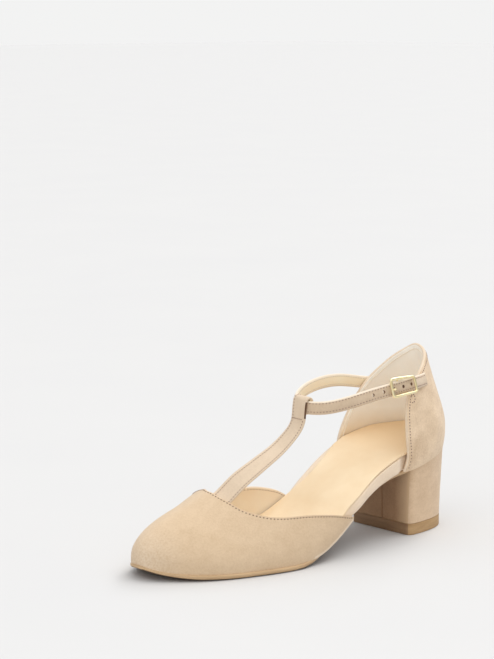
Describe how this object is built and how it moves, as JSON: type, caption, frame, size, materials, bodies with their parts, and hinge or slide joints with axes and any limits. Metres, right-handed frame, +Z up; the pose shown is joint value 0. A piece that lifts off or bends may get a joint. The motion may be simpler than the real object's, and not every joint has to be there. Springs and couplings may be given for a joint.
{
  "type": "strap pump",
  "caption": "Left T-strap pump in suede with a closed round toe and heel, open waist, buckled ankle strap and a covered block heel.",
  "frame": {"origin": "on the floor, at the middle of the heel's contact face", "axes": "+X along the heel's centre line to the toe, +Y to the outer side, +Z up"},
  "size_m": [0.2378, 0.085, 0.1163],
  "materials": {
    "beige_suede": "suede",
    "cream_leather": "smooth",
    "tan_rubber": "matte",
    "pale_gold": "polished"
  },
  "bodies": {
    "root": {"outsole": "tan_rubber", "footbed": "beige_suede", "insole_sock": "cream_leather", "vamp": "beige_suede", "counter": "beige_suede", "heel_block": "beige_suede", "top_piece": "tan_rubber", "t_strap": "beige_suede", "ankle_strap": "beige_suede", "buckle_tab": "beige_suede", "buckle_frame": "pale_gold", "buckle_prong": "pale_gold"}
  },
  "joints": []
}
